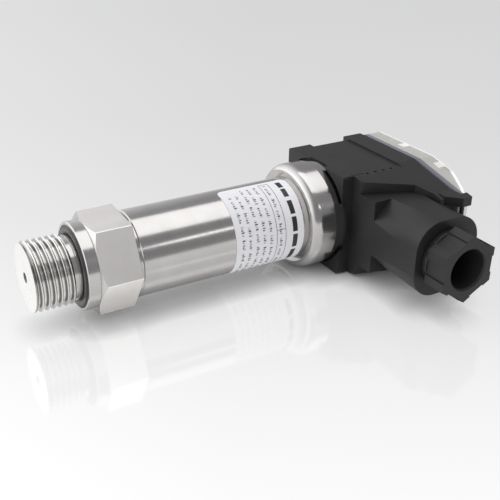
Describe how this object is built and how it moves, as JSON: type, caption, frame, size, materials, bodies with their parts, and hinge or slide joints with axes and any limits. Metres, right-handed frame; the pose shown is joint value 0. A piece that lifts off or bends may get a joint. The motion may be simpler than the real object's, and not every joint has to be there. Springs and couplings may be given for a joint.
{
  "type": "pressure transmitter",
  "caption": "Pressure transmitter with a screwed process connection, a polished tube and a right-angle cable socket with a clear hinged lid and a cable gland.",
  "frame": {"origin": "centre of the sealing face of the collar, on the body's axis", "axes": "+Z along the body from the process thread to the cable socket, +X along the cable gland, +Y completes a right-handed frame"},
  "size_m": [0.0744, 0.0348, 0.1359],
  "materials": {
    "bright_steel": "polished",
    "plated_steel": "plated",
    "black_nylon": "moulded",
    "clear_plastic": "clear",
    "grey_rubber": "soft",
    "black_rubber": "soft",
    "label_foil": "satin",
    "cell_ceramic": "ground",
    "carrier_plastic": "moulded",
    "board_laminate": "laminate",
    "component_black": "moulded",
    "contact_brass": "turned",
    "tinned_brass": "tinned"
  },
  "bodies": {
    "process_side": {"process_connection": "bright_steel", "profile_seal_ring": "black_rubber", "cell_seal_ring": "black_rubber", "pressure_cell": "cell_ceramic", "cell_clamp_ring": "bright_steel", "housing_tube": "bright_steel", "rating_label": "label_foil", "head_ring": "bright_steel", "board_holder": "carrier_plastic", "electronics_board": "board_laminate", "board_components": "component_black", "plug_insert": "carrier_plastic", "insert_seal_ring": "black_rubber", "threaded_insert": "contact_brass", "contact_blades": "tinned_brass", "earth_blade": "tinned_brass"},
    "cable_socket": {"flat_gasket": "black_rubber", "connector_housing": "black_nylon", "contact_carrier": "carrier_plastic", "socket_contacts": "tinned_brass", "terminal_screws": "plated_steel", "lid_gasket": "grey_rubber", "hinge_pin": "plated_steel", "cable_grommet": "black_rubber"},
    "lid": {"rear_lid": "clear_plastic"},
    "gland_follower": {"gland_washer": "carrier_plastic"},
    "gland_nut": {"gland_nut": "black_nylon"},
    "screw_follower": {"screw_seal": "black_rubber"},
    "locking_screw": {"locking_screw": "plated_steel"}
  },
  "joints": [
    {"name": "socket_pull", "type": "slide", "parent": "process_side", "child": "cable_socket", "axis": [0, 0, 1], "range_m": [0, 0.012]},
    {"name": "lid_hinge", "type": "hinge", "parent": "cable_socket", "child": "lid", "pos_m": [0.038, 0, 0.1134], "axis": [0, 1, 0], "range_deg": [0, 120]},
    {"name": "gland_travel", "type": "slide", "parent": "cable_socket", "child": "gland_follower", "axis": [1, 0, 0], "range_m": [0, 0.00751]},
    {"name": "gland_turn", "type": "hinge", "parent": "gland_follower", "child": "gland_nut", "pos_m": [0.048, 0, 0.099], "axis": [1, 0, 0], "range_deg": [0, 1800]},
    {"name": "screw_lift", "type": "slide", "parent": "cable_socket", "child": "screw_follower", "axis": [0, 0, 1], "range_m": [0, 0.005]},
    {"name": "screw_turn", "type": "hinge", "parent": "screw_follower", "child": "locking_screw", "pos_m": [0, 0, 0.108], "axis": [0, 0, 1], "range_deg": [0, 3607.2]}
  ],
  "couplings": [
    {"joint": "gland_travel", "follows": "gland_turn", "m_per_rad": 0.00023873},
    {"joint": "screw_turn", "follows": "screw_lift", "rad_per_m": 12566}
  ]
}
